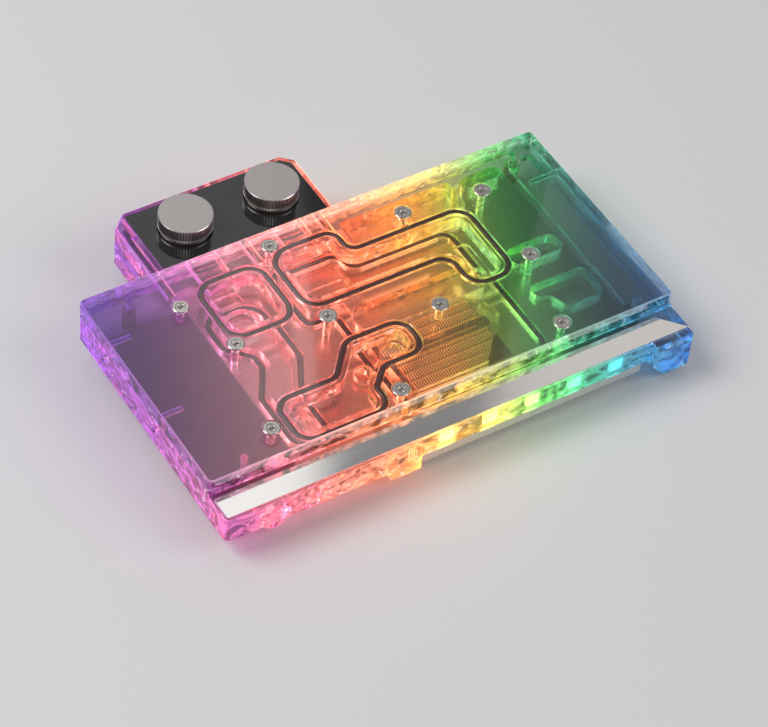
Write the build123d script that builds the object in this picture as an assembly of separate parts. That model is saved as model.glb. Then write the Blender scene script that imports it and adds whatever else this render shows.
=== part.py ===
"""Full-cover liquid cooling block for a graphics card, as an assembly of separate pieces.

Lengths are millimetres. The drawing axes run x along the block from its left end, y from the
front edge of the cover to the back, and z up from the cover's top face. Every piece is moved
once, at the end, so that the origin is the middle of the assembly's underside.
"""

from build123d import *
import math
import os

os.makedirs("parts", exist_ok=True)

# Acrylic stack
LENGTH = 188.0
WIDTH = 93.0
COVER_T = 6.0
BODY_T = 12.0
CORNER_R = 2.0
COVER_BEVEL = 0.5

# Thin film of air between flat faces that lie together
FILM = 0.05

# Front ledge that carries the trim strip
LEDGE_REACH = 12.2
LEDGE_STEP = 1.0

# Trim strip
STRIP_T = 0.7
STRIP_WIDTH = 9.2
STRIP_LEFT_INSET = 0.7
STRIP_RIGHT_INSET = 0.5
STRIP_FRONT_INSET = 0.7
STRIP_CUT = 8.4
STRIP_CORNER_R = 0.8

# Light strip behind the front wall
LIGHT_X0 = 77.0
LIGHT_X1 = 172.0
LIGHT_WINDOW_T = 1.2
LIGHT_SLOT_W = 2.6
LIGHT_ROOF_T = 0.9
LIGHT_WALL_H = 8.5
LIGHT_RECESS_W = 9.2
BOARD_T = 0.8
BOARD_H = 7.2
BOARD_END_GAP = 0.5
CHIP_SIZE = 5.0
CHIP_T = 1.5
CHIP_FIRST_X = 87.4
CHIP_PITCH = 17.5
CHIP_COUNT = 5
CHIP_DROP = 3.2
CHIP_LENS_R = 1.9
CHIP_LENS_DEPTH = 0.25

# Legs under the front edge
FOOT_LENGTH = 16.0
FOOT_REACH = 2.0
FOOT_DEPTH = 5.7
FOOT_BACK = 10.2
FOOT_RUN = 6.0
FOOT_FLANK_R = 4.0
LEG_LENGTH = 12.0
LEG_DEPTH = 4.0
LEG_WIDTH = 5.0
BOSS_X = 20.5
BOSS_R = 6.5
BOSS_DEPTH = 3.5
BOSS_INSET = 0.3

# Cooling plate, nickel-plated copper
PLATE_X0 = 35.5
PLATE_X1 = 173.0
PLATE_Y0 = 4.0
PLATE_BACK = 4.0
PLATE_T = 4.0
PLATE_CORNER_R = 1.5
TONGUE_X0 = 72.0
TONGUE_BACK_Y = -6.3
TONGUE_STEP_X = 78.5
TONGUE_FRONT_Y = -10.2
TONGUE_X1 = 171.0

# Micro-fins and the core of the card
CORE_X = 106.5
CORE_Y = 25.5
CORE_PAD = 31.0
CORE_PAD_H = 1.2
FIN_FRONT = 15.5
FIN_BACK = 12.0
FIN_FIELD = 38.0
FIN_PITCH = 1.0
FIN_T = 0.5
FIN_H = 2.5
FIN_WALL_GAP = 0.7
FIN_ROW_PITCH = 4.0
FIN_ROW_GAP = 0.9
FIN_ROW_CUT = 1.2

# Raised pads on the plate's underside for the memory and the power stages
PAD_H = 1.7
PAD_R = 1.0
MEMORY_PADS = [
    (84.0, WIDTH - 33.5, 46.0, 12.0),
    (134.5, 8.0, 14.0, 42.0),
    (63.0, 8.0, 14.0, 40.0),
]
POWER_PADS = [(41.0, 10.0, 9.0, WIDTH - 23.0)]

# Windows through the plate for tall parts of the card, each with a pocket in the body above it
WINDOWS = [
    ([(149.8, 42.2), (171.0, 42.2), (171.0, 50.8), (149.8, 50.8)], [3, 3, 4, 3]),
    (
        [
            (155.8, 17.3), (171.6, 17.3), (171.6, 31.8), (148.0, 31.8), (148.0, 26.6), (152.8, 24.6),
        ],
        [3, 3, 3.5, 2, 1.5, 2],
    ),
]
WINDOW_POCKET_H = 4.5

# Jet strip over the fins
JET_T = 0.8
JET_WIDTH = 4.6
JET_SLOT_W = 1.6
JET_END = 1.5
JET_CORNER_R = 1.0
JET_SLOT_END = 4.5

# Sealing cord
CORD_R = 1.15
CORD_GAP = 0.05
GROOVE_W = 2.7

# Chambers in the top of the body. Each loop is the centre line of its sealing cord, as corners
# and corner radii. What lies toward the back is measured from the cover's back edge.
INLET_LOOP = (
    [
        (40.3, WIDTH - 38.0), (66.0, WIDTH - 38.0), (66.0, WIDTH - 10.0), (40.3, WIDTH - 10.0),
    ],
    [7, 7, 7, 7],
)
BRIDGE_LOOP = (
    [
        (71.2, WIDTH - 37.5), (128.8, WIDTH - 37.5), (128.8, WIDTH - 54.8), (146.5, WIDTH - 54.8),
        (146.5, WIDTH - 19.5), (98.3, WIDTH - 19.5), (98.3, WIDTH - 8.0), (71.2, WIDTH - 8.0),
    ],
    [7, 6, 7, 7, 7, 4.5, 5, 8],
)
CROSS_LOOP = (
    [
        (38.2, 3.4), (73.2, 3.4), (73.2, 13.4), (80.5, 20.9), (98.0, 20.9),
        (98.0, 36.7), (74.5, 36.7), (63.2, 23.6), (38.2, 23.6),
    ],
    [6, 6, 4, 5, 6.5, 6.5, 6, 5, 6],
)
CHAMBER_INSET = 2.9
CHAMBER_DEPTH = 6.0

# Deeper trays milled into the chamber floors, x0, y0, x1, y1, corner radius
TRAY_DEPTH = 1.0
TRAYS = [
    (76.5, WIDTH - 32.5, 92.5, WIDTH - 25.5, 2.0),
    (133.5, WIDTH - 49.8, 141.5, WIDTH - 31.0, 2.5),
    (44.5, WIDTH - 20.3, 55.5, WIDTH - 14.6, 1.5),
]

# Seals between the body and the plate, as cord centre lines
FLOW_LOOP = (
    [
        (38.2, 7.0), (52.6, 7.0), (52.6, 28.5), (60.0, 42.0), (60.0, WIDTH - 19.4),
        (37.8, WIDTH - 19.4), (37.8, WIDTH - 36.2), (45.6, WIDTH - 44.0), (45.6, WIDTH - 50.0),
        (38.2, WIDTH - 62.0),
    ],
    [4.5, 4.5, 6, 8, 8, 8, 3, 3, 4, 5],
)
CORE_LOOP = (
    [
        (80.5, 4.4), (139.5, 4.4), (139.5, WIDTH - 21.0), (98.5, WIDTH - 21.0),
        (98.5, WIDTH - 12.6), (69.5, WIDTH - 12.6), (69.5, WIDTH - 40.0), (80.5, WIDTH - 40.0),
    ],
    [6.5, 6, 5, 4, 5, 5, 3, 3.5],
)
LOWER_INSET = 3.1
FLOW_POCKET_H = 3.0

# Pockets inside the core loop: over the fins, the channel that feeds them, and the way down
FIN_CHAMBER = (
    [
        (84.5, 9.0), (117.2, 9.0), (132.8, 26.2), (130.2, 34.0), (124.5, 39.0), (84.5, 39.0),
    ],
    [3, 2, 3, 3, 1.5, 3],
)
FIN_CHAMBER_H = 3.3
CHANNEL_Y1 = 51.4
CHANNEL = ([(84.3, 38.8), (135.8, 38.8), (135.8, CHANNEL_Y1), (84.3, CHANNEL_Y1)], [6, 2.5, 2.5, 6])
CHANNEL_H = 5.2
DROP_Y0 = WIDTH - 36.5
DROP_POCKET = ([(73.0, DROP_Y0), (95.0, DROP_Y0), (95.0, WIDTH - 16.2), (73.0, WIDTH - 16.2)], [3] * 4)
LINK_POCKET = (
    [
        (86.0, CHANNEL_Y1 - 1.0), (93.0, CHANNEL_Y1 - 1.0), (93.0, DROP_Y0 + 1.0), (86.0, DROP_Y0 + 1.0),
    ],
    [0.5] * 4,
)

# Bores that join the upper and lower chambers, x, y, radius
RISERS = [
    (50.2, WIDTH - 27.8, 6.2), (45.6, 15.2, 3.6), (75.6, 25.2, 3.6), (89.6, 28.8, 4.6), (137.0, 47.4, 3.4),
]
RISER_FOOT = 1.0

# Recesses in the body's underside, x0, y0, length, width, height, corner radius
RELIEFS = [
    (103.0, WIDTH - 18.0, 46.3, 13.4, 8.0, 1.5),
    (153.5, WIDTH - 10.0, 17.0, 5.5, 6.0, 2.7),
]
END_RELIEF_X0 = 175.4
END_RELIEF_WALL = 1.6
END_RELIEF_Y0 = 4.0
END_RELIEF_BACK = 3.6
END_RELIEF_H = 3.0

# Bosses left standing in the recesses, around screws and stand-off studs
RECESS_BOSS_R = 3.6

# Cover screws, M3 with countersunk heads
SCREWS_LONG = [
    (72.4, WIDTH - 7.2), (123.5, WIDTH - 14.7), (155.2, WIDTH - 18.2), (38.7, WIDTH - 42.5),
    (73.6, WIDTH - 45.8), (153.2, 39.7), (144.9, 6.6), (78.3, 6.1),
]
SCREWS_SHORT = [(30.2, WIDTH - 18.6), (111.4, 33.8), (30.3, 11.5)]
SCREW_R = 1.5
SCREW_GAP = 0.05
SCREW_HEAD_R = 3.36
SCREW_HEAD_RIM = 0.25
SCREW_SINK = 0.1
SCREW_POINT = 0.4
SCREW_HEX = 2.0
SCREW_HEX_DEPTH = 1.2
SCREW_SHORT_L = 12.0
SCREW_BITE = 2.5
SCREW_TIP_GAP = 0.5

# Tapped holes in the two ends for the card's bracket and a brace, M3
END_HOLE_R = 1.25
END_HOLE_DEPTH = 11.0
END_HOLES_LEFT_Y = [38.0, WIDTH - 18.0]
END_HOLES_RIGHT_Y = [WIDTH - 18.0]

# Terminal block with its two ports
TERM_X0 = 28.0
TERM_X1 = 103.0
TERM_DEPTH = 31.2
TERM_DROP = 0.6
TERM_CUT_LEFT = (6.0, 5.7)
TERM_CUT_RIGHT = (4.5, 4.5)
TERM_BEVEL = 0.8
TERM_CORNER_R = 1.0
PORT_X = 50.7
PORT_SPACING = 35.2
PORT_INSET = 16.3
PORT_R = 6.58
PORT_DEPTH = 9.6
FEED_R = 4.8
PASSAGE_W = 13.0
PASSAGE_H = 4.8
PASSAGE_DROP = 6.0
PASSAGE_SEAL_W = 17.6
PASSAGE_SEAL_H = 8.6

# Dark facing let into the terminal's top
FACING_T = 0.8
FACING_LEFT = 5.6
FACING_RIM = 2.2
FACING_R = 0.5
ISLAND_R = 9.1

# Stop plugs, G1/4
PLUG_R = 10.0
PLUG_H = 6.4
PLUG_GAP = 0.4
KNURL_COUNT = 58
KNURL_DEPTH = 0.45
KNURL_LOW = 1.3
KNURL_HIGH = 0.3
PLUG_BEVEL = 0.25
SHANK_R = 6.45
SHANK_L = 8.0
SHANK_BEVEL = 0.8
PLUG_CORD_R = 0.9
PLUG_CORD_PITCH_R = 7.8
PLUG_GROOVE_W = 2.0

# Terminal screws, M4 socket heads
TERM_SCREW_X = [32.4, 68.3, 98.5]
TERM_SCREW_R = 2.0
TERM_SCREW_GAP = 0.2
TERM_HEAD_R = 3.5
TERM_HEAD_H = 4.0
TERM_HEAD_SINK = 8.5
TERM_SCREW_BITE = 8.5
TERM_HEX = 3.0
TERM_HEX_DEPTH = 2.0

# Stand-offs to the card, hexagonal, M2.5
CARD_GAP = 8.0
STANDOFF_AF = 5.0
STANDOFF_STUD_R = 1.25
STANDOFF_STUD_L = 3.0
STANDOFF_TAP_R = 1.03
STANDOFF_TAP_L = 3.4
STANDOFF_WEB = 0.6
CORE_PATTERN = 58.4
EDGE_LEFT = 18.0
EDGE_RIGHT = 10.0
EDGE_FRONT = 8.0
EDGE_BACK = 4.0
EDGE_HOLE_DEPTH = 9.5

# Heights and edges worked out from the sizes above
COVER_Z = -COVER_T
BODY_TOP = COVER_Z - FILM
BODY_Z = BODY_TOP - BODY_T
PLATE_TOP = BODY_Z - FILM
PLATE_Z = PLATE_TOP - PLATE_T
CARD_Z = BODY_Z - CARD_GAP
PLATE_Y1 = WIDTH - PLATE_BACK
LEDGE_Z = BODY_TOP - LEDGE_STEP
FRONT_Y = -LEDGE_REACH
FOOT_X0 = LENGTH - FOOT_LENGTH
TERM_Z = -TERM_DROP
TERM_Y0 = WIDTH + FILM
TERM_Y1 = TERM_Y0 + TERM_DEPTH
PASSAGE_Z = BODY_TOP - PASSAGE_DROP
PORT_Y = TERM_Y1 - PORT_INSET
PORTS = [PORT_X, PORT_X + PORT_SPACING]
PLUG_Z0 = TERM_Z + PLUG_GAP
FIN_TOP = PLATE_TOP + FIN_H
LIGHT_Y0 = FRONT_Y + LIGHT_WINDOW_T
LIGHT_Y1 = LIGHT_Y0 + LIGHT_SLOT_W
LIGHT_TOP = LEDGE_Z - LIGHT_ROOF_T
LIGHT_LOW = LEDGE_Z - LIGHT_WALL_H
BOARD_BACK = LIGHT_Y1 - FILM
BOARD_TOP = LIGHT_TOP - FILM
MIDDLE_Y = (FRONT_Y - FOOT_REACH + TERM_Y1) / 2
ORIGIN = Vector(LENGTH / 2, MIDDLE_Y, CARD_Z)
HOLE_R = SCREW_R + SCREW_GAP
OVERCUT = 1.0
OVERLAP = 0.2


def slab(x0, x1, y0, y1, z0, z1):
    """Block between two opposite corners."""
    centre = Pos((x0 + x1) / 2, (y0 + y1) / 2, (z0 + z1) / 2)
    return centre * Box(x1 - x0, y1 - y0, z1 - z0)


def post(x, y, radius, z0, z1):
    """Upright round bar."""
    return Pos(x, y, (z0 + z1) / 2) * Cylinder(radius, z1 - z0)


def bar(x, z, radius, y0, y1):
    """Round bar along the depth."""
    return Pos(x, (y0 + y1) / 2, z) * Rot(90, 0, 0) * Cylinder(radius, y1 - y0)


def outline(loop, grow=0.0):
    """Flat face inside a rounded polygon, grown or shrunk by an even margin."""
    corners, radii = loop
    face = make_face(FilletPolyline(*corners, radius=radii, close=True))
    if grow:
        face = offset(face, grow)
    return face


def prism(loop, z0, z1, grow=0.0):
    """Straight-walled solid over a rounded polygon."""
    return Pos(0, 0, z0) * extrude(outline(loop, grow), z1 - z0, dir=(0, 0, 1))


def rounded_box(x0, y0, length, width, z0, z1, radius):
    """Block with rounded upright edges."""
    corners = [(x0, y0), (x0 + length, y0), (x0 + length, y0 + width), (x0, y0 + width)]
    return prism((corners, [radius] * 4), z0, z1)


def groove(loop, z0, z1):
    """Groove for a sealing cord."""
    return prism(loop, z0, z1, GROOVE_W / 2) - prism(loop, z0, z1, -GROOVE_W / 2)


def cord(loop, z):
    """Closed sealing cord that follows a rounded polygon."""
    corners, radii = loop
    path = Pos(0, 0, z) * FilletPolyline(*corners, radius=radii, close=True)
    wire = Wire(path.edges())
    start = Plane(origin=wire @ 0, z_dir=wire % 0)
    return sweep(start * Circle(CORD_R), path=wire)


def hexagon(across_flats):
    """Flat hexagon with the given width across its flats."""
    return RegularPolygon(across_flats / 2, 6, major_radius=False)


def slot_face(x, z, width, height):
    """Flat face with two straight sides and round ends, drawn in x and z."""
    return Pos(x, z) * SlotOverall(width, height)


def upright(solid, y):
    """Turns a solid drawn flat so that its height runs along the depth, from y to the back."""
    return Pos(0, y, 0) * Rot(90, 0, 0) * mirror(solid, Plane.XY)


def across(face, y0, y1):
    """Straight-walled solid along the depth over a face drawn in x and z."""
    return upright(extrude(face, y1 - y0, dir=(0, 0, 1)), y0)


def countersunk_screw(length):
    """Cover screw standing on its tip, its head's top at height zero."""
    cone_h = SCREW_HEAD_R - SCREW_R
    section = Polyline(
        (0, 0), (SCREW_HEAD_R, 0), (SCREW_HEAD_R, -SCREW_HEAD_RIM),
        (SCREW_R, -SCREW_HEAD_RIM - cone_h), (SCREW_R, -length + SCREW_POINT),
        (SCREW_R - SCREW_POINT, -length), (0, -length), (0, 0),
    )
    screw = revolve(Plane.XZ * make_face(section), Axis.Z)
    socket = extrude(hexagon(SCREW_HEX), -SCREW_HEX_DEPTH, dir=(0, 0, 1))
    return screw - socket


def countersink():
    """Cutter for one cover screw's head, its mouth at height zero."""
    r = SCREW_HEAD_R + 2 * SCREW_GAP
    rim = SCREW_SINK + SCREW_HEAD_RIM
    cone_h = r - HOLE_R
    section = Polyline(
        (0, OVERCUT), (r, OVERCUT), (r, -rim),
        (HOLE_R, -rim - cone_h), (0, -rim - cone_h), (0, OVERCUT),
    )
    return revolve(Plane.XZ * make_face(section), Axis.Z)


def cover_screw_spots():
    """Every cover screw as x, y and length."""
    long_l = COVER_T + BODY_T + SCREW_BITE - SCREW_SINK
    spots = [(x, y, long_l) for x, y in SCREWS_LONG]
    spots += [(x, y, SCREW_SHORT_L) for x, y in SCREWS_SHORT]
    return spots


def corners_of(x, y, length, width):
    """The four corners of a rectangle around a middle point."""
    return [(x + i * length / 2, y + j * width / 2) for i in (-1, 1) for j in (-1, 1)]


def core_standoff_spots():
    """The four fixing points around the card's core."""
    return corners_of(CORE_X, CORE_Y, CORE_PATTERN, CORE_PATTERN)


def edge_standoff_spots():
    """Stand-offs near the body's corners."""
    xs = (EDGE_LEFT, LENGTH - EDGE_RIGHT)
    ys = (EDGE_FRONT, WIDTH - EDGE_BACK)
    return [(x, y) for x in xs for y in ys]


def make_cover_plate():
    """Clear top sheet with countersunk screw holes."""
    cover = rounded_box(0, 0, LENGTH, WIDTH, COVER_Z, 0, CORNER_R)
    cover = chamfer(cover.faces().sort_by(Axis.Z)[-1].edges(), COVER_BEVEL)
    for x, y, _ in cover_screw_spots():
        cover -= post(x, y, HOLE_R, COVER_Z - OVERCUT, OVERCUT)
        cover -= Pos(x, y, 0) * countersink()
    return cover


def make_front_legs():
    """Foot, leg and boss that reach below the body along its front edge."""
    low = BODY_Z - FOOT_DEPTH
    corners = [
        (FOOT_X0, LEDGE_Z), (LENGTH, LEDGE_Z), (LENGTH, low),
        (FOOT_X0 + FOOT_RUN, low), (FOOT_X0, low + FOOT_RUN),
    ]
    side = outline((corners, [0.5, 0.5, 1.0, 1.0, FOOT_FLANK_R]))
    foot = across(side, FRONT_Y - FOOT_REACH, FRONT_Y + FOOT_BACK)
    leg_y1 = FRONT_Y + LEG_WIDTH
    leg = slab(LIGHT_X0 - LEG_LENGTH, LIGHT_X0, FRONT_Y, leg_y1, BODY_Z - LEG_DEPTH, LEDGE_Z)
    boss = post(BOSS_X, FRONT_Y + BOSS_INSET + BOSS_R, BOSS_R, BODY_Z - BOSS_DEPTH, BODY_Z + OVERLAP)
    return foot + leg + boss


def cut_light_slot(body):
    """Front wall that stops short below the light strip, and the slot behind it."""
    body -= slab(
        LIGHT_X0, LIGHT_X1, FRONT_Y - OVERCUT, FRONT_Y + LIGHT_RECESS_W, BODY_Z - OVERCUT, LIGHT_LOW,
    )
    return body - slab(LIGHT_X0, LIGHT_X1, LIGHT_Y0, LIGHT_Y1, LIGHT_LOW - OVERCUT, LIGHT_TOP)


def cut_upper_chambers(body):
    """Chambers under the cover, each with its cord groove, and the trays in their floors."""
    floor = BODY_TOP - CHAMBER_DEPTH
    top = BODY_TOP + OVERCUT
    for loop in (INLET_LOOP, BRIDGE_LOOP, CROSS_LOOP):
        body -= prism(loop, floor, top, -CHAMBER_INSET)
        body -= groove(loop, BODY_TOP - 2 * CORD_R - CORD_GAP, top)
    for x0, y0, x1, y1, radius in TRAYS:
        body -= rounded_box(x0, y0, x1 - x0, y1 - y0, floor - TRAY_DEPTH, floor + OVERCUT, radius)
    for x, y, radius in RISERS:
        body -= post(x, y, radius, BODY_Z + RISER_FOOT, floor + OVERCUT)
    return body


def cut_lower_chambers(body):
    """Chambers over the cold plate, each inside its cord groove."""
    low = BODY_Z - OVERCUT
    body -= prism(FLOW_LOOP, low, BODY_Z + FLOW_POCKET_H, -LOWER_INSET)
    body -= prism(CHANNEL, low, BODY_Z + CHANNEL_H)
    for pocket in (FIN_CHAMBER, DROP_POCKET, LINK_POCKET):
        body -= prism(pocket, low, BODY_Z + FIN_CHAMBER_H)
    for loop in (FLOW_LOOP, CORE_LOOP):
        body -= groove(loop, low, BODY_Z + 2 * CORD_R + CORD_GAP)
    return body


def cut_reliefs(body):
    """Recesses in the underside that save weight and clear the card, around their bosses."""
    low = BODY_Z - OVERCUT
    length = LENGTH - END_RELIEF_WALL - END_RELIEF_X0
    width = WIDTH - END_RELIEF_BACK - END_RELIEF_Y0
    end_relief = (END_RELIEF_X0, END_RELIEF_Y0, length, width, END_RELIEF_H, CORNER_R)
    bosses = SCREWS_LONG + edge_standoff_spots()
    for x0, y0, length, width, height, radius in RELIEFS + [end_relief]:
        recess = rounded_box(x0, y0, length, width, low, BODY_Z + height, radius)
        for x, y in bosses:
            if x0 < x < x0 + length and y0 < y < y0 + width:
                recess -= post(x, y, RECESS_BOSS_R, low - OVERCUT, BODY_Z + height + OVERCUT)
        body -= recess
    for window in WINDOWS:
        body -= prism(window, low, BODY_Z + WINDOW_POCKET_H)
    return body


def cut_passages(body):
    """Water passages from the terminal, and the terminal's screw holes."""
    back = TERM_Y0 + OVERCUT
    reach = [INLET_LOOP[0][2][1] - CHAMBER_INSET - OVERCUT, BRIDGE_LOOP[0][6][1] - CHAMBER_INSET - OVERCUT]
    for x, y0 in zip(PORTS, reach):
        body -= across(slot_face(x, PASSAGE_Z, PASSAGE_W, PASSAGE_H), y0, back)
    tip_y = TERM_Y0 - TERM_SCREW_BITE - SCREW_TIP_GAP
    for x in TERM_SCREW_X:
        body -= bar(x, PASSAGE_Z, TERM_SCREW_R + SCREW_GAP, tip_y, back)
    return body


def cut_screw_holes(body):
    """Holes for the cover screws and the stand-offs, and the tapped holes in the ends."""
    for x, y, length in cover_screw_spots():
        low = max(-length - SCREW_SINK - SCREW_TIP_GAP, BODY_Z - OVERCUT)
        body -= post(x, y, HOLE_R, low, BODY_TOP + OVERCUT)
    for x, y in edge_standoff_spots():
        body -= post(x, y, STANDOFF_STUD_R + SCREW_GAP, BODY_Z - OVERCUT, BODY_Z + EDGE_HOLE_DEPTH)
    ends = [(0, 1, y) for y in END_HOLES_LEFT_Y] + [(LENGTH, -1, y) for y in END_HOLES_RIGHT_Y]
    for x, inward, y in ends:
        middle = Pos(x + inward * (END_HOLE_DEPTH - OVERCUT) / 2, y, PASSAGE_Z)
        body -= middle * Rot(0, 90, 0) * Cylinder(END_HOLE_R, END_HOLE_DEPTH + OVERCUT)
    return body


def make_main_body():
    """Clear body with everything that is milled into it."""
    body = rounded_box(0, FRONT_Y, LENGTH, WIDTH - FRONT_Y, BODY_Z, BODY_TOP, CORNER_R)
    body -= slab(-OVERCUT, LENGTH + OVERCUT, FRONT_Y - OVERCUT, 0, LEDGE_Z, OVERCUT)
    body += make_front_legs()
    body = cut_light_slot(body)
    body = cut_upper_chambers(body)
    body = cut_lower_chambers(body)
    body = cut_reliefs(body)
    body = cut_passages(body)
    return cut_screw_holes(body)


def make_fins():
    """Field of upright fins over the core, cut into rows, fused to the plate."""
    low = PLATE_TOP - OVERLAP
    y0, y1 = CORE_Y - FIN_FRONT, CORE_Y + FIN_BACK
    room = prism(FIN_CHAMBER, low, FIN_TOP, -FIN_WALL_GAP)
    rows = int((y1 - y0) / FIN_ROW_PITCH)
    for i in range(1, rows + 1):
        cut_y0 = y0 + i * FIN_ROW_PITCH - FIN_ROW_GAP / 2
        room -= slab(0, LENGTH, cut_y0, cut_y0 + FIN_ROW_GAP, FIN_TOP - FIN_ROW_CUT, FIN_TOP + OVERCUT)
    count = int(FIN_FIELD / FIN_PITCH)
    first = CORE_X - (count - 1) * FIN_PITCH / 2
    fins = []
    for i in range(count):
        x = first + i * FIN_PITCH
        fins.append(slab(x - FIN_T / 2, x + FIN_T / 2, y0, y1, low, FIN_TOP) & room)
    return fins


def make_cold_plate():
    """Nickel-plated copper plate with micro-fins above and contact pads below."""
    corners = [
        (PLATE_X0, PLATE_Y0), (TONGUE_X0, PLATE_Y0), (TONGUE_X0, TONGUE_BACK_Y),
        (TONGUE_STEP_X, TONGUE_BACK_Y), (TONGUE_STEP_X, TONGUE_FRONT_Y), (TONGUE_X1, TONGUE_FRONT_Y),
        (TONGUE_X1, PLATE_Y0), (PLATE_X1, PLATE_Y0), (PLATE_X1, PLATE_Y1), (PLATE_X0, PLATE_Y1),
    ]
    outer, inner = PLATE_CORNER_R, PLATE_CORNER_R / 2
    radii = [outer, inner, outer, inner, outer, outer, inner, inner, outer, outer]
    plate = prism((corners, radii), PLATE_Z, PLATE_TOP)

    x0, y0 = CORE_X - CORE_PAD / 2, CORE_Y - CORE_PAD / 2
    plate += rounded_box(x0, y0, CORE_PAD, CORE_PAD, PLATE_Z - CORE_PAD_H, PLATE_Z + OVERLAP, PAD_R)
    for x0, y0, length, width in MEMORY_PADS + POWER_PADS:
        plate += rounded_box(x0, y0, length, width, PLATE_Z - PAD_H, PLATE_Z + OVERLAP, PAD_R)
    for window in WINDOWS:
        plate -= prism(window, PLATE_Z - OVERCUT, PLATE_TOP + OVERCUT)
    screw_low = BODY_Z - SCREW_BITE - SCREW_TIP_GAP
    for x, y in SCREWS_LONG:
        plate -= post(x, y, HOLE_R, screw_low, PLATE_TOP + OVERCUT)
    stud_top = PLATE_Z + STANDOFF_STUD_L + SCREW_TIP_GAP
    for x, y in core_standoff_spots():
        plate -= post(x, y, STANDOFF_STUD_R + SCREW_GAP, PLATE_Z - OVERCUT, stud_top)
    return plate + make_fins()


def make_jet_strip():
    """Slotted strip that lies across the tops of the fins."""
    length = FIN_FIELD + 2 * JET_END
    x0, y0 = CORE_X - length / 2, CORE_Y - JET_WIDTH / 2
    strip = rounded_box(x0, y0, length, JET_WIDTH, FIN_TOP, FIN_TOP + JET_T, JET_CORNER_R)
    slot = Pos(CORE_X, CORE_Y, FIN_TOP - OVERCUT) * SlotOverall(length - 2 * JET_SLOT_END, JET_SLOT_W)
    return strip - extrude(slot, JET_T + 2 * OVERCUT, dir=(0, 0, 1))


def facing_prism(gap, z0, z1):
    """Solid with the facing's outline, smaller all round by the gap."""
    x0 = TERM_X0 + FACING_LEFT + gap
    x1 = TERM_X1 - FACING_RIM - gap
    y0 = TERM_Y0 + gap
    y1 = TERM_Y1 - FACING_RIM - gap
    cut_x = TERM_CUT_RIGHT[0] - FACING_RIM / 2
    cut_y = TERM_CUT_RIGHT[1] - FACING_RIM / 2
    corners = [(x0, y0), (x1, y0), (x1, y1 - cut_y), (x1 - cut_x, y1), (x0, y1)]
    return prism((corners, [0, 0, FACING_R, FACING_R, FACING_R]), z0, z1)


def make_terminal_block():
    """Clear block behind the body, with two threaded ports and the passages to the body."""
    x0, x1, y0, y1 = TERM_X0, TERM_X1, TERM_Y0, TERM_Y1
    corners = [
        (x0, y0), (x1, y0), (x1, y1 - TERM_CUT_RIGHT[1]), (x1 - TERM_CUT_RIGHT[0], y1),
        (x0 + TERM_CUT_LEFT[0], y1), (x0, y1 - TERM_CUT_LEFT[1]),
    ]
    block = prism((corners, [0, 0] + [TERM_CORNER_R] * 4), BODY_Z, TERM_Z)
    rim = block.faces().sort_by(Axis.Z)[-1].edges()
    block = chamfer(rim.filter_by(lambda edge: edge.center().Y > TERM_Y0 + FILM), TERM_BEVEL)

    pocket_floor = TERM_Z - FACING_T - FILM
    pocket = facing_prism(0.0, pocket_floor, TERM_Z + OVERCUT)
    for x in PORTS:
        pocket -= post(x, PORT_Y, ISLAND_R, pocket_floor - OVERCUT, TERM_Z + 2 * OVERCUT)
    block -= pocket
    for x in PORTS:
        block -= post(x, PORT_Y, PORT_R, TERM_Z - PORT_DEPTH, TERM_Z + OVERCUT)
        block -= post(x, PORT_Y, FEED_R, PASSAGE_Z - PASSAGE_H / 2, TERM_Z)
        block -= across(slot_face(x, PASSAGE_Z, PASSAGE_W, PASSAGE_H), TERM_Y0 - OVERCUT, PORT_Y)
        outer = slot_face(x, PASSAGE_Z, PASSAGE_SEAL_W + GROOVE_W, PASSAGE_SEAL_H + GROOVE_W)
        inner = slot_face(x, PASSAGE_Z, PASSAGE_SEAL_W - GROOVE_W, PASSAGE_SEAL_H - GROOVE_W)
        block -= across(outer - inner, TERM_Y0 - OVERCUT, TERM_Y0 + 2 * CORD_R + CORD_GAP)
    for x in TERM_SCREW_X:
        block -= bar(x, PASSAGE_Z, TERM_SCREW_R + TERM_SCREW_GAP, TERM_Y0 - OVERCUT, TERM_Y1 + OVERCUT)
        head_r = TERM_HEAD_R + TERM_SCREW_GAP
        block -= bar(x, PASSAGE_Z, head_r, TERM_Y1 - TERM_HEAD_SINK, TERM_Y1 + OVERCUT)
    return block


def make_terminal_facing():
    """Dark gloss facing, flush with the terminal's rim."""
    facing = facing_prism(FILM, TERM_Z - FACING_T, TERM_Z)
    for x in PORTS:
        facing -= post(x, PORT_Y, ISLAND_R + FILM, TERM_Z - FACING_T - OVERCUT, TERM_Z + OVERCUT)
    return facing


def make_passage_seal(x):
    """Racetrack cord between the terminal and the body around one passage."""
    flat = slot_face(x, -PASSAGE_Z, PASSAGE_SEAL_W, PASSAGE_SEAL_H).face().outer_wire()
    path = Pos(0, (WIDTH + TERM_Y0 + CORD_GAP) / 2 + CORD_R, 0) * Rot(-90, 0, 0) * flat
    wire = Wire(path.edges())
    start = Plane(origin=wire @ 0, z_dir=wire % 0)
    return sweep(start * Circle(CORD_R), path=wire)


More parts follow.
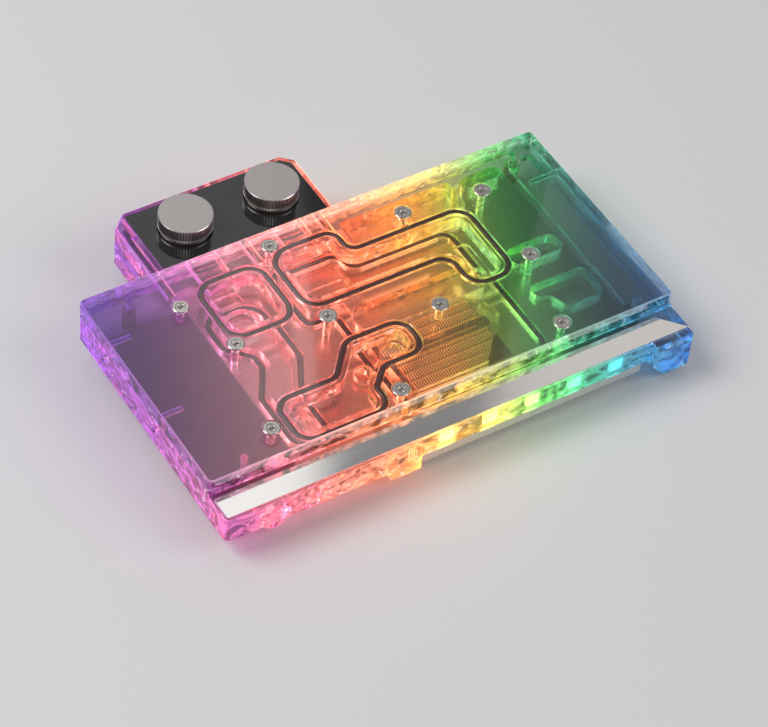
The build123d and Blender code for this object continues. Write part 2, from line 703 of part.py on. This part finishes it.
def make_stop_plug(x):
    """Turned and knurled stop plug for one port."""
    cap = Pos(0, 0, PLUG_H / 2) * Cylinder(PLUG_R, PLUG_H)
    cap = chamfer(cap.edges().group_by(Axis.Z)[0] + cap.edges().group_by(Axis.Z)[-1], PLUG_BEVEL)
    half = math.pi * PLUG_R / KNURL_COUNT
    root = PLUG_R - KNURL_DEPTH
    notch = make_face(Polyline((root, 0), (PLUG_R, half), (PLUG_R + OVERCUT, 0), (PLUG_R, -half), (root, 0)))
    cutter = Pos(0, 0, KNURL_LOW) * extrude(notch, PLUG_H - KNURL_LOW - KNURL_HIGH, dir=(0, 0, 1))
    cap -= [Rot(0, 0, 360 / KNURL_COUNT * i) * cutter for i in range(KNURL_COUNT)]
    shank = post(0, 0, SHANK_R, -SHANK_L, OVERLAP)
    shank = chamfer(shank.edges().group_by(Axis.Z)[0], SHANK_BEVEL)
    inner = PLUG_CORD_PITCH_R - PLUG_GROOVE_W / 2
    outer = PLUG_CORD_PITCH_R + PLUG_GROOVE_W / 2
    depth = 2 * PLUG_CORD_R + CORD_GAP - PLUG_GAP
    seat = post(0, 0, outer, -OVERCUT, depth) - post(0, 0, inner, -2 * OVERCUT, depth + OVERCUT)
    return Pos(x, PORT_Y, PLUG_Z0) * (cap + shank - seat)


def make_plug_seal(x):
    """Sealing ring under one plug's cap."""
    return Pos(x, PORT_Y, TERM_Z + PLUG_CORD_R) * Torus(PLUG_CORD_PITCH_R, PLUG_CORD_R)


def make_cover_screws():
    """All the cover screws as separate solids."""
    return [Pos(x, y, -SCREW_SINK) * countersunk_screw(length) for x, y, length in cover_screw_spots()]


def make_terminal_screws():
    """Socket screws from the terminal's back into the body."""
    seat = TERM_Y1 - TERM_HEAD_SINK + FILM
    screws = []
    for x in TERM_SCREW_X:
        screw = bar(x, PASSAGE_Z, TERM_SCREW_R, TERM_Y0 - TERM_SCREW_BITE, seat + OVERLAP)
        screw += bar(x, PASSAGE_Z, TERM_HEAD_R, seat, seat + TERM_HEAD_H)
        socket = extrude(hexagon(TERM_HEX), TERM_HEX_DEPTH + OVERCUT, dir=(0, 0, 1))
        screw -= Pos(x, seat + TERM_HEAD_H - TERM_HEX_DEPTH, PASSAGE_Z) * Rot(-90, 0, 0) * socket
        screws.append(screw)
    return screws


def make_trim_strip():
    """Flat stainless strip on the ledge, its right end cut at an angle."""
    y0 = FRONT_Y + STRIP_FRONT_INSET
    y1 = y0 + STRIP_WIDTH
    x0 = STRIP_LEFT_INSET
    x1 = LENGTH - STRIP_RIGHT_INSET
    corners = [(x0, y0), (x1, y0), (x1 - STRIP_CUT, y1), (x0, y1)]
    low = LEDGE_Z + FILM
    return prism((corners, [STRIP_CORNER_R, 0, 0, 0]), low, low + STRIP_T)


def make_led_board():
    """Narrow circuit board standing on edge behind the front wall."""
    x0, x1 = LIGHT_X0 + BOARD_END_GAP, LIGHT_X1 - BOARD_END_GAP
    return slab(x0, x1, BOARD_BACK - BOARD_T, BOARD_BACK, BOARD_TOP - BOARD_H, BOARD_TOP)


def make_led_chips():
    """Square light chips on the board's front face, each with a round well."""
    back = BOARD_BACK - BOARD_T
    front = back - CHIP_T
    z = BOARD_TOP - CHIP_DROP
    half = CHIP_SIZE / 2
    chips = []
    for i in range(CHIP_COUNT):
        x = CHIP_FIRST_X + i * CHIP_PITCH
        chip = slab(x - half, x + half, front, back, z - half, z + half)
        chips.append(chip - bar(x, z, CHIP_LENS_R, front - OVERCUT, front + CHIP_LENS_DEPTH))
    return chips


def make_standoff(x, y, top):
    """Hexagonal stand-off between a seat above and the card below."""
    height = top - CARD_Z
    body = Pos(x, y, CARD_Z) * extrude(hexagon(STANDOFF_AF), height, dir=(0, 0, 1))
    body += post(x, y, STANDOFF_STUD_R, top - OVERLAP, top + STANDOFF_STUD_L)
    depth = min(STANDOFF_TAP_L, height - STANDOFF_WEB)
    return body - post(x, y, STANDOFF_TAP_R, CARD_Z - OVERCUT, CARD_Z + depth)


def save(node, shape):
    """Moves one piece or group to the assembly's origin and writes it."""
    pieces = shape if isinstance(shape, list) else [shape]
    moved = [solid.moved(Location(-ORIGIN)) for piece in pieces for solid in piece.solids()]
    out = moved[0] if len(moved) == 1 else Compound(children=moved)
    export_step(out, f"parts/{node}.step")


upper_cord_z = (COVER_Z + BODY_TOP - 2 * CORD_R - CORD_GAP) / 2
lower_cord_z = (PLATE_TOP + BODY_Z + 2 * CORD_R + CORD_GAP) / 2

save("cover_plate", make_cover_plate())
save("main_body", make_main_body())
save("cold_plate", make_cold_plate())
save("jet_strip", make_jet_strip())
save("inlet_chamber_seal", cord(INLET_LOOP, upper_cord_z))
save("bridge_chamber_seal", cord(BRIDGE_LOOP, upper_cord_z))
save("cross_chamber_seal", cord(CROSS_LOOP, upper_cord_z))
save("flow_channel_seal", cord(FLOW_LOOP, lower_cord_z))
save("core_seal", cord(CORE_LOOP, lower_cord_z))
save("terminal_block", make_terminal_block())
save("terminal_facing", make_terminal_facing())
for side, port_x in zip(("left", "right"), PORTS):
    save(f"passage_seal_{side}", make_passage_seal(port_x))
    save(f"stop_plug_{side}", make_stop_plug(port_x))
    save(f"plug_seal_{side}", make_plug_seal(port_x))
save("cover_screws", make_cover_screws())
save("terminal_screws", make_terminal_screws())
save("trim_strip", make_trim_strip())
save("led_board", make_led_board())
save("led_chips", make_led_chips())
save("core_standoffs", [make_standoff(x, y, PLATE_Z) for x, y in core_standoff_spots()])
save("edge_standoffs", [make_standoff(x, y, BODY_Z - FILM) for x, y in edge_standoff_spots()])
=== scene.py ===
"""Materials, light and camera for a clear, edge-lit cooling block on a plain pale floor, with the edge
light painted into the clear parts' colour and glow.
"""

import math

import bpy
from mathutils import Matrix, Vector


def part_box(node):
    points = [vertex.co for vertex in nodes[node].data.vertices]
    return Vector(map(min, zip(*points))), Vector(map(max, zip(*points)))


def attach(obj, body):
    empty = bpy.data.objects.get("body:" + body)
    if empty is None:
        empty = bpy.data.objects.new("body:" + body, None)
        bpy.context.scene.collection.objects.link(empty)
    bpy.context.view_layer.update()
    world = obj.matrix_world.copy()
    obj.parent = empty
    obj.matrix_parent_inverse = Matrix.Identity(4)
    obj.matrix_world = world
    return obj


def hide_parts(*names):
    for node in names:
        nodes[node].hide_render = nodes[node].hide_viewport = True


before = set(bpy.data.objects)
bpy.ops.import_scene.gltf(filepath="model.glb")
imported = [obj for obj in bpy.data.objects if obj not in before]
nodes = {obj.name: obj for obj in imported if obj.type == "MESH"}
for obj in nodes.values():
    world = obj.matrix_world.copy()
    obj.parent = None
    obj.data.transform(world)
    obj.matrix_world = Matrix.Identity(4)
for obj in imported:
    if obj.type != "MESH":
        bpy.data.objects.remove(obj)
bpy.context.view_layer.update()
MM = 0.001

# Camera
CAMERA_PLACE = (-0.4456, -0.6257, 0.8268)
CAMERA_AZIMUTH = -36.07
CAMERA_ELEVATION = 47.59
CAMERA_ROLL = 6.33
CAMERA_LENS = 148.0
CAMERA_SHIFT = (0.0037, -0.0046)

# The lights' colours change along a slanting line over the block, and they are painted into the clear
# parts as painted light, in their colour and their glow. Each row has the place on it, which is x less a
# share of y in millimetres, the colour of painted light that the clear walls take there, and how pale the
# painted tints are there, against the whiteness that a material asks for.
SLANT = 0.42
GLOW = [
    (-110, (116, 30, 178), 0.5),
    (-88, (148, 34, 182), 0.6),
    (-68, (186, 44, 162), 0.95),
    (-50, (212, 74, 118), 1.2),
    (-28, (228, 98, 84), 1.2),
    (0, (238, 134, 54), 1.1),
    (28, (230, 182, 50), 1.0),
    (44, (188, 192, 56), 0.95),
    (60, (84, 192, 66), 0.9),
    (76, (18, 156, 106), 0.75),
    (98, (0, 116, 142), 0.45),
    (125, (0, 84, 150), 0.4),
]

# The front row of lights and the wall before it, in millimetres, where the wall gets a brighter painted
# glow before each light
CHIP_MIDDLE = 28.4
CHIP_PITCH = 17.5
LIGHT_ROW_X = (-16.0, 76.0)
FRONT_WALL_Y = -54.0

# The satin patch on the clear body's underside, in millimetres, with its roughness and its colour: a dark
# mauve of painted shade and painted purple glow in place of the lights' colour
SATIN_X = (-90.5, -58.7)
SATIN_Y = (-54.0, 25.5)
SATIN_Z = 8.2
SATIN_PAINTED_SHADE_AND_GLOW = (118, 54, 88)
SATIN_ROUGHNESS = 0.42

# The chambers and the recess at the back right, in millimetres, and how much of the outer walls'
# painted glow their walls get: they are dimmed as painted shade
CHAMBERS_X = (-88.0, 46.0)
CHAMBERS_Y = (-50.0, 36.0)
CHAMBERS_GLOW = 0.5
RECESS_X = (57.0, 79.0)
RECESS_Y = (26.0, 36.0)
RECESS_GLOW = 0.15

# How far a face of the clear plates looks up or down: a face is no wall at the first and fully one
# at the second, and a bevel lies between the two of a rim
WALL_FACING = (0.85, 0.35)
RIM_FACING = (0.6, 0.8)
# Painted highlight on the bevels of the rims, this much of a paler lights' colour
RIM_GLOW = 0.55
# Pale painted highlights in spots on the walls, up to this much
SPARK_GLOW = 0.6
ACRYLIC_IOR = 1.49
# Strength of the painted glow of the clear parts, which stands in for the lights' light carried in them
ACRYLIC_GLOW = 1.15

# The field of fins on the cold plate, in millimetres, with its painted glow and the plate's, and the
# colours painted on the fins: painted shade at their roots and painted golden light at their tops
FINS_X = (-7.5, 33.0)
FINS_Y = (-46.5, -16.0)
FINS_BOTTOM = 7.95
FINS_TOP = 10.45
FINS_GLOW = 0.42
FINS_PAINTED_SHADE = (120, 84, 50)
FINS_PAINTED_LIGHT = (248, 214, 150)
PLATE_GLOW = 0.1

# Cover screws, M3, in millimetres, with depths below the top of the head
SOCKET_FLATS = 2.2
SOCKET_DEPTH = 1.5
SOCKET_FUNNEL = 0.25
HEAD_DEPTH = 2.1
NECK_DEPTH = 2.5
THREAD_TOP = 2.6
THREADLESS = 3.2
THREAD_PITCH = 0.5
THREAD_R = 1.5
THREAD_DEPTH = 0.26
THREAD_ROWS = 4
TIP_BEVEL = 0.3
POINT_R = 0.01
SIDES = 24


def srgb(r, g, b, a=1.0):
    """Linear colour from screen values of 0 to 255."""
    def linear(v):
        v = v / 255
        return v / 12.92 if v <= 0.04045 else ((v + 0.055) / 1.055) ** 2.4
    return (linear(r), linear(g), linear(b), a)


def mixed(colour, other, share):
    """Colour between two, by the share of the other one."""
    return tuple(a + (b - a) * share for a, b in zip(colour, other))


class Graph:
    """Writes one material's nodes."""

    def __init__(self, name):
        self.material = bpy.data.materials.new(name)
        self.material.use_nodes = True
        self.tree = self.material.node_tree
        self.tree.nodes.clear()
        self.output = self.tree.nodes.new("ShaderNodeOutputMaterial")

    def node(self, kind, inputs=None, **settings):
        made = self.tree.nodes.new("ShaderNode" + kind)
        for key, value in settings.items():
            setattr(made, key, value)
        for key, value in (inputs or {}).items():
            if isinstance(value, bpy.types.NodeSocket):
                self.tree.links.new(value, made.inputs[key])
            else:
                made.inputs[key].default_value = value
        return made

    def maths(self, operation, a, b=0.0):
        return self.node("Math", {0: a, 1: b}, operation=operation).outputs[0]

    def place(self):
        return self.node("TexCoord").outputs["Object"]

    def along(self, axis):
        """One coordinate of the place, in millimetres."""
        value = self.node("SeparateXYZ", {0: self.place()}).outputs[axis]
        return self.maths("MULTIPLY", value, 1 / MM)

    def facing(self, axis="Z"):
        """How far the surface faces along an axis, from -1 to 1."""
        normal = self.node("NewGeometry").outputs["Normal"]
        return self.node("SeparateXYZ", {0: normal}).outputs[axis]

    def noise(self, scale, detail=3.0, stretch=(1, 1, 1), distortion=0.0):
        mapping = self.node("Mapping", {"Vector": self.place(), "Scale": stretch})
        inputs = {"Vector": mapping.outputs[0], "Scale": scale, "Detail": detail, "Distortion": distortion}
        return self.node("TexNoise", inputs).outputs["Fac"]

    def ramp(self, factor, stops):
        made = self.node("ValToRGB", {"Fac": factor})
        elements = made.color_ramp.elements
        while len(elements) < len(stops):
            elements.new(0.5)
        for element, (position, colour) in zip(elements, stops):
            element.position = position
            element.color = colour
        return made.outputs["Color"]

    def blend(self, factor, a, b):
        made = self.node("Mix", {"Factor": factor}, data_type="RGBA")
        for socket, value in ((made.inputs[6], a), (made.inputs[7], b)):
            if isinstance(value, bpy.types.NodeSocket):
                self.tree.links.new(value, socket)
            else:
                socket.default_value = value
        return made.outputs[2]

    def span(self, value, low, high, to_low=0.0, to_high=1.0):
        inputs = {"Value": value, "From Min": low, "From Max": high, "To Min": to_low, "To Max": to_high}
        return self.node("MapRange", inputs).outputs["Result"]

    def within(self, value, low, high, soft=0.2):
        """1 between two limits and 0 outside them."""
        rise = self.span(value, low - soft, low + soft)
        fall = self.span(value, high - soft, high + soft, 1.0, 0.0)
        return self.maths("MULTIPLY", rise, fall)

    def area(self, x_limits, y_limits, x_soft=0.2, y_soft=0.2):
        """1 over a rectangle seen from above and 0 outside it."""
        across = self.within(self.along("X"), *x_limits, x_soft)
        deep = self.within(self.along("Y"), *y_limits, y_soft)
        return self.maths("MULTIPLY", across, deep)

    def bump(self, height, strength, distance):
        inputs = {"Height": height, "Strength": strength, "Distance": distance}
        return self.node("Bump", inputs).outputs[0]

    def finish(self, surface):
        self.tree.links.new(surface, self.output.inputs["Surface"])
        return self.material


def glow_colours(g, whiten=0.0):
    """The slanting run of the lights' colours, which the materials use as painted light, paler by a share
    of white.
    """
    slant = g.node("VectorMath", {0: g.place(), 1: (1.0, -SLANT, 0.0)}, operation="DOT_PRODUCT")
    start, end = GLOW[0][0], GLOW[-1][0]
    along = g.span(slant.outputs["Value"], start * MM, end * MM)
    stops = []
    for position, colour, paleness in GLOW:
        pale = mixed(srgb(*colour), (1, 1, 1, 1), whiten * paleness)
        stops.append(((position - start) / (end - start), pale))
    return g.ramp(along, stops)


def satin_and_painted_shade_patch(g):
    """1 on the satin patch of the body's underside, which is rougher and takes a painted colour of shade
    and purple glow.
    """
    patch = g.area(SATIN_X, SATIN_Y)
    below = g.maths("LESS_THAN", g.along("Z"), SATIN_Z)
    level = g.maths("GREATER_THAN", g.maths("ABSOLUTE", g.facing()), 0.95)
    return g.maths("MULTIPLY", patch, g.maths("MULTIPLY", below, level))


def light_row(g):
    """Painted glow: brighter where the front wall stands before one of the lights."""
    from_chip = g.maths("SUBTRACT", g.along("X"), CHIP_MIDDLE)
    angle = g.maths("MULTIPLY", from_chip, 2 * math.pi / CHIP_PITCH)
    wave = g.span(g.maths("COSINE", angle), 0.2, 1.0, 0.0, 1.0)
    row = g.within(g.along("X"), *LIGHT_ROW_X, 2.0)
    front = g.maths("LESS_THAN", g.along("Y"), FRONT_WALL_Y)
    return g.maths("MULTIPLY", wave, g.maths("MULTIPLY", row, front))


def wall_light(g, glow):
    """How much painted glow walls get: in patches, more before the lights, and less in chambers and
    recess, where the dimming is painted shade.
    """
    patches = g.span(g.noise(125.0, 2.0, (1, 1, 1.6), 1.6), 0.38, 0.64, 0.25, 1.75)
    level = g.maths("MULTIPLY", g.maths("ADD", patches, light_row(g)), glow)
    # Painted shade: the walls of the chambers and the recess glow less
    chambers = g.area(CHAMBERS_X, CHAMBERS_Y, 2.0, 1.0)
    level = g.maths("MULTIPLY", level, g.span(chambers, 0.0, 1.0, 1.0, CHAMBERS_GLOW))
    recess = g.area(RECESS_X, RECESS_Y)
    return g.maths("MULTIPLY", level, g.span(recess, 0.0, 1.0, 1.0, RECESS_GLOW))


def caught_light(g, wall, wall_glow, face_glow):
    """Painted glow for the light that walls, faces and bevels catch, with pale painted highlights on the
    walls and brighter painted highlights on the bevels.
    """
    faces = g.maths("MULTIPLY", g.maths("SUBTRACT", 1.0, wall), face_glow)
    share = g.maths("ADD", g.maths("MULTIPLY", wall, wall_light(g, wall_glow)), faces)
    light = g.blend(share, (0, 0, 0, 1), glow_colours(g, 0.1))
    # Painted highlights: pale spots on the walls
    painted_highlights = g.span(g.noise(170.0, 1.0, (1, 1, 1), 2.0), 0.62, 0.72, 0.0, SPARK_GLOW)
    light = g.blend(g.maths("MULTIPLY", wall, painted_highlights), light, glow_colours(g, 0.5))
    # Painted highlight on the bevels of the rims
    rim = g.within(g.maths("ABSOLUTE", g.facing()), *RIM_FACING, 0.04)
    return g.blend(g.maths("MULTIPLY", rim, RIM_GLOW), light, glow_colours(g, 0.35))


def acrylic(name, light_paleness, wall_light_paleness, wall_glow, face_glow, satin=False):
    """Clear acrylic with the lights' colours painted into its base colour as painted light, and a painted
    glow on walls that catch the light.
    """
    g = Graph(name)
    wall = g.span(g.maths("ABSOLUTE", g.facing()), *WALL_FACING)
    # The base colour is painted light: the lights' colours, paler on the faces and deeper on the walls
    base = g.blend(wall, glow_colours(g, light_paleness), glow_colours(g, wall_light_paleness))
    rough = g.span(g.noise(600.0, 2.0), 0.3, 0.7, 0.015, 0.045)
    if satin:
        patch = satin_and_painted_shade_patch(g)
        # Painted shade and glow: the patch takes a dark mauve in place of the lights' colour
        base = g.blend(patch, base, srgb(*SATIN_PAINTED_SHADE_AND_GLOW))
        rough = g.maths("ADD", rough, g.maths("MULTIPLY", patch, SATIN_ROUGHNESS))
    shader = g.node("BsdfPrincipled", {
        "Base Color": base,
        "Roughness": rough,
        "IOR": ACRYLIC_IOR,
        "Transmission Weight": 1.0,
        # Painted glow: the clear acrylic is no lamp
        "Emission Color": caught_light(g, wall, wall_glow, face_glow),
        "Emission Strength": ACRYLIC_GLOW,
    })
    # Shadow rays pass through in the base colour, so the painted light also colours the shadows
    passing = g.node("BsdfTransparent", {"Color": base})
    is_shadow = g.node("LightPath").outputs["Is Shadow Ray"]
    mix = g.node("MixShader", {0: is_shadow, 1: shader.outputs[0], 2: passing.outputs[0]})
    return g.finish(mix.outputs[0])


def metal(name, colour, roughness=0.2, spread=0.05, scale=900.0, stretch=(1, 1, 1), marks=0.05):
    """Metal with fine machining marks."""
    g = Graph(name)
    grain = g.noise(scale, 4.0, stretch)
    rough = g.span(grain, 0.3, 0.7, roughness - spread, roughness + spread)
    shader = g.node("BsdfPrincipled", {
        "Base Color": colour,
        "Metallic": 1.0,
        "Roughness": rough,
        "Normal": g.bump(grain, marks, 0.0001),
    })
    return g.finish(shader.outputs[0])


def finned_metal(name, colour):
    """Plated metal with the coloured light on its fins painted: a painted glow on their tops and fronts, a
    colour from painted shade at their roots to painted golden light at their tops, and a faint painted
    glow on the whole plate.
    """
    g = Graph(name)
    height = g.along("Z")
    above = g.maths("GREATER_THAN", height, FINS_BOTTOM - 0.1)
    zone = g.maths("MULTIPLY", g.area(FINS_X, FINS_Y), above)
    rise = g.span(height, FINS_BOTTOM, FINS_TOP)
    level = g.maths("MULTIPLY", rise, FINS_GLOW)
    tops = g.maths("MULTIPLY", g.maths("GREATER_THAN", g.facing(), 0.8), level)
    fronts = g.maths("MULTIPLY", g.maths("LESS_THAN", g.facing("Y"), -0.8), level)
    fins = g.maths("MULTIPLY", zone, g.maths("ADD", tops, fronts))
    # Painted shade at the fins' roots, running to painted golden light at their tops
    painted_fin_light = g.ramp(rise, [(0.0, srgb(*FINS_PAINTED_SHADE)), (1.0, srgb(*FINS_PAINTED_LIGHT))])
    grain = g.noise(900.0, 4.0)
    shader = g.node("BsdfPrincipled", {
        "Base Color": g.blend(zone, colour, painted_fin_light),
        "Metallic": 1.0,
        "Roughness": g.span(grain, 0.3, 0.7, 0.26, 0.36),
        "Normal": g.bump(grain, 0.02, 0.0001),
        # Painted glow on the fins' tops and fronts and, fainter, on the whole plate
        "Emission Color": glow_colours(g, 0.3),
        "Emission Strength": g.maths("ADD", fins, PLATE_GLOW),
    })
    return g.finish(shader.outputs[0])


def turned_metal(name, colour, middle_x, middle_y):
    """Plated metal with a satin turned top and a bright knurled side."""
    g = Graph(name)
    x = g.maths("SUBTRACT", g.along("X"), middle_x)
    y = g.maths("SUBTRACT", g.along("Y"), middle_y)
    radius = g.maths("SQRT", g.maths("ADD", g.maths("MULTIPLY", x, x), g.maths("MULTIPLY", y, y)))
    rings = g.maths("SINE", g.maths("MULTIPLY", radius, 28.0))
    top = g.maths("GREATER_THAN", g.facing(), 0.9)
    height = g.maths("MULTIPLY", rings, top)
    grain = g.noise(1400.0, 3.0)
    rough = g.maths("ADD", g.span(grain, 0.3, 0.7, 0.26, 0.34), g.maths("MULTIPLY", top, 0.06))
    shader = g.node("BsdfPrincipled", {
        "Base Color": colour,
        "Metallic": 1.0,
        "Roughness": rough,
        "Normal": g.bump(height, 0.08, 0.00002),
    })
    return g.finish(shader.outputs[0])


def plastic(name, colour, roughness, coat=0.0):
    """Plain moulded plastic or rubber with a fine grain."""
    g = Graph(name)
    tone = g.span(g.noise(1500.0, 3.0), 0.3, 0.7, 0.9, 1.1)
    base = g.node("VectorMath", {0: colour[:3], 3: tone}, operation="SCALE")
    shader = g.node("BsdfPrincipled", {
        "Base Color": base.outputs[0],
        "Roughness": roughness,
        "Coat Weight": coat,
    })
    return g.finish(shader.outputs[0])


def light_chip(name):
    """Pale chip that shines in the colour of its place."""
    g = Graph(name)
    shader = g.node("BsdfPrincipled", {
        "Base Color": srgb(245, 240, 225),
        "Roughness": 0.4,
        "Emission Color": glow_colours(g, 0.4),
        "Emission Strength": 5.0,
    })
    return g.finish(shader.outputs[0])


def dress(names, material):
    """Gives one material to CAD nodes."""
    for name in names:
        mesh = nodes[name].data
        mesh.materials.clear()
        mesh.materials.append(material)


def middle(name):
    """Middle of a CAD node's box in x and y, in millimetres."""
    low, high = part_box(name)
    return ((low[0] + high[0]) / 2 / MM, (low[1] + high[1]) / 2 / MM)


def dress_everything():
    """A material for every node."""
    dress(["cover_plate"], acrylic("clear_cover", 0.74, 0.1, 0.5, 0.0))
    dress(["main_body"], acrylic("clear_body", 0.36, 0.1, 0.62, 0.01, satin=True))
    dress(["terminal_block"], acrylic("clear_terminal", 0.25, 0.08, 0.32, 0.01))
    dress(["cold_plate"], finned_metal("nickel", srgb(232, 226, 220)))
    dress(["jet_strip"], metal("jet_steel", srgb(206, 202, 196), 0.25))
    upper = ["inlet_chamber_seal", "bridge_chamber_seal", "cross_chamber_seal"]
    lower = ["flow_channel_seal", "core_seal", "passage_seal_left", "passage_seal_right"]
    dress(upper, plastic("seal_rubber", srgb(46, 14, 10), 0.45))
    dress(lower, plastic("lower_seal_rubber", srgb(62, 24, 24), 0.5))
    dress(["plug_seal_left", "plug_seal_right"], plastic("plug_rubber", srgb(24, 22, 22), 0.4))
    dress(["terminal_facing"], plastic("dark_facing", srgb(30, 30, 32), 0.06))
    for side in ("left", "right"):
        plug = "stop_plug_" + side
        dress([plug], turned_metal("plug_nickel_" + side, srgb(206, 198, 195), *middle(plug)))
    steel = metal("screw_steel", srgb(204, 199, 192), 0.24)
    dress(["cover_screws", "terminal_screws"], steel)
    dress(["trim_strip"], metal("trim_steel", srgb(232, 229, 225), 0.09, 0.02, 500.0, (0.06, 1, 1), 0.02))
    dress(["led_board"], plastic("board", srgb(26, 26, 30), 0.5))
    dress(["led_chips"], light_chip("light_chip"))
    dress(["core_standoffs", "edge_standoffs"], metal("standoff_brass", srgb(214, 196, 150), 0.25))
    return steel


def islands(mesh):
    """Boxes of a mesh's separate solids, as low and high corners."""
    parent = list(range(len(mesh.vertices)))
    at = {}
    for vertex in mesh.vertices:
        key = tuple(round(v, 6) for v in vertex.co)
        parent[vertex.index] = at.setdefault(key, vertex.index)

    def root(i):
        while parent[i] != i:
            parent[i] = parent[parent[i]]
            i = parent[i]
        return i

    for edge in mesh.edges:
        a, b = (root(v) for v in edge.vertices)
        parent[a] = b
    groups = {}
    for vertex in mesh.vertices:
        groups.setdefault(root(vertex.index), []).append(vertex.co)
    boxes = []
    for group in groups.values():
        low = Vector([min(v[k] for v in group) for k in range(3)])
        high = Vector([max(v[k] for v in group) for k in range(3)])
        boxes.append((low, high))
    return boxes


def hexagon_radius(angle, across_flats):
    """Distance from the middle of a hexagon to its edge at one angle."""
    turn = angle % (math.pi / 3) - math.pi / 6
    return across_flats / 2 / math.cos(turn)


def screw_rings(length, head_r):
    """Rings of one countersunk screw from its socket to its tip, as height and radius by angle."""
    def plain(r):
        return lambda angle: r

    def socket(grow):
        return lambda angle: hexagon_radius(angle, SOCKET_FLATS) + grow

    def thread(z):
        def radius(angle):
            phase = z / THREAD_PITCH + angle / (2 * math.pi)
            return THREAD_R - THREAD_DEPTH * (0.5 - 0.5 * math.cos(2 * math.pi * phase))
        return radius

    rings = [
        (-SOCKET_DEPTH - SOCKET_FUNNEL, plain(POINT_R)), (-SOCKET_DEPTH, socket(0.0)),
        (-0.3, socket(0.0)), (-0.2, socket(0.12)), (-0.2, plain(1.6)), (0.0, plain(1.95)),
        (0.0, plain(head_r - 0.62)), (-0.05, plain(head_r - 0.45)), (-0.25, plain(head_r)),
        (-HEAD_DEPTH, plain(THREAD_R)), (-NECK_DEPTH, plain(THREAD_R - 0.04)),
    ]
    step = THREAD_PITCH / THREAD_ROWS
    count = int((length - THREADLESS) / step)
    rings += [(-THREAD_TOP - i * step, thread(THREAD_TOP + i * step)) for i in range(count)]
    rings += [(-length + TIP_BEVEL, plain(THREAD_R - 0.3)), (-length, plain(THREAD_R - 0.5))]
    rings += [(-length, plain(POINT_R))]
    return rings


def make_threaded_screws(material):
    """The cover screws with their threads, in place of the plain ones."""
    points = []
    faces = []
    for low, high in islands(nodes["cover_screws"].data):
        length = (high.z - low.z) / MM
        head_r = (high.x - low.x) / 2 / MM
        x, y = (low.x + high.x) / 2, (low.y + high.y) / 2
        first = len(points)
        rings = screw_rings(length, head_r)
        for z, radius in rings:
            for i in range(SIDES):
                angle = 2 * math.pi * i / SIDES
                r = radius(angle) * MM
                points.append((x + r * math.cos(angle), y + r * math.sin(angle), high.z + z * MM))
        for k in range(len(rings) - 1):
            for i in range(SIDES):
                j = (i + 1) % SIDES
                a, b = first + k * SIDES, first + (k + 1) * SIDES
                faces.append((a + i, b + i, b + j, a + j))
    mesh = bpy.data.meshes.new("threaded_cover_screws")
    mesh.from_pydata(points, [], faces)
    mesh.materials.append(material)
    for polygon in mesh.polygons:
        polygon.use_smooth = abs(polygon.normal.z) < 0.97
    screws = bpy.data.objects.new("threaded_cover_screws", mesh)
    bpy.context.scene.collection.objects.link(screws)
    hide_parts("cover_screws")
    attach(screws, "root")


def make_camera():
    """Camera at the photograph's viewing angle."""
    data = bpy.data.cameras.new("camera")
    camera = bpy.data.objects.new("camera", data)
    bpy.context.scene.collection.objects.link(camera)
    turn = Matrix.Rotation(math.radians(CAMERA_AZIMUTH), 4, "Z")
    tip = Matrix.Rotation(math.radians(90 - CAMERA_ELEVATION), 4, "X")
    roll = Matrix.Rotation(math.radians(CAMERA_ROLL), 4, "Z")
    camera.matrix_world = Matrix.Translation(CAMERA_PLACE) @ turn @ tip @ roll
    data.lens = CAMERA_LENS
    data.sensor_width = 36.0
    data.sensor_fit = "HORIZONTAL"
    data.shift_x, data.shift_y = CAMERA_SHIFT
    data.clip_start = 0.05
    data.clip_end = 20.0
    bpy.context.scene.camera = camera


def make_floor():
    """Plain pale floor."""
    half = 4.0
    corners = [(-half, -half, 0), (half, -half, 0), (half, half, 0), (-half, half, 0)]
    mesh = bpy.data.meshes.new("floor")
    mesh.from_pydata(corners, [], [(0, 1, 2, 3)])
    floor = bpy.data.objects.new("floor", mesh)
    bpy.context.scene.collection.objects.link(floor)
    g = Graph("floor_paint")
    shader = g.node("BsdfPrincipled", {"Base Color": srgb(222, 221, 222), "Roughness": 0.55})
    mesh.materials.append(g.finish(shader.outputs[0]))


def soft_light(name, place, aim, size, watts, colour=(1, 1, 1)):
    """Rectangular studio light that faces a point."""
    data = bpy.data.lights.new(name, "AREA")
    data.shape = "RECTANGLE"
    data.size, data.size_y = size
    data.energy = watts
    data.color = colour
    light = bpy.data.objects.new(name, data)
    bpy.context.scene.collection.objects.link(light)
    light.location = place
    light.rotation_euler = (Vector(aim) - Vector(place)).to_track_quat("-Z", "Y").to_euler()


def make_light():
    """Plain soft studio light."""
    soft_light("key_light", (-0.9, 0.5, 1.3), (0, 0, 0), (0.9, 0.9), 16.5)
    soft_light("fill_light", (0.9, -0.9, 1.0), (0, 0, 0), (0.9, 0.9), 6.5)
    soft_light("back_light", (0.38, 0.95, 1.2), (0, 0, 0), (0.42, 0.6), 0.66)
    soft_light("side_light", (0.86, 0.8, 1.2), (0, 0, 0), (0.2, 0.3), 0.08, (1.0, 0.98, 0.95))
    world = bpy.data.worlds.new("studio")
    bpy.context.scene.world = world
    world.use_nodes = True
    background = world.node_tree.nodes["Background"]
    background.inputs["Color"].default_value = (0.5, 0.5, 0.52, 1.0)
    background.inputs["Strength"].default_value = 0.52


screw_steel = dress_everything()
make_threaded_screws(screw_steel)
make_camera()
make_floor()
make_light()
bpy.context.scene.view_settings.view_transform = "Standard"
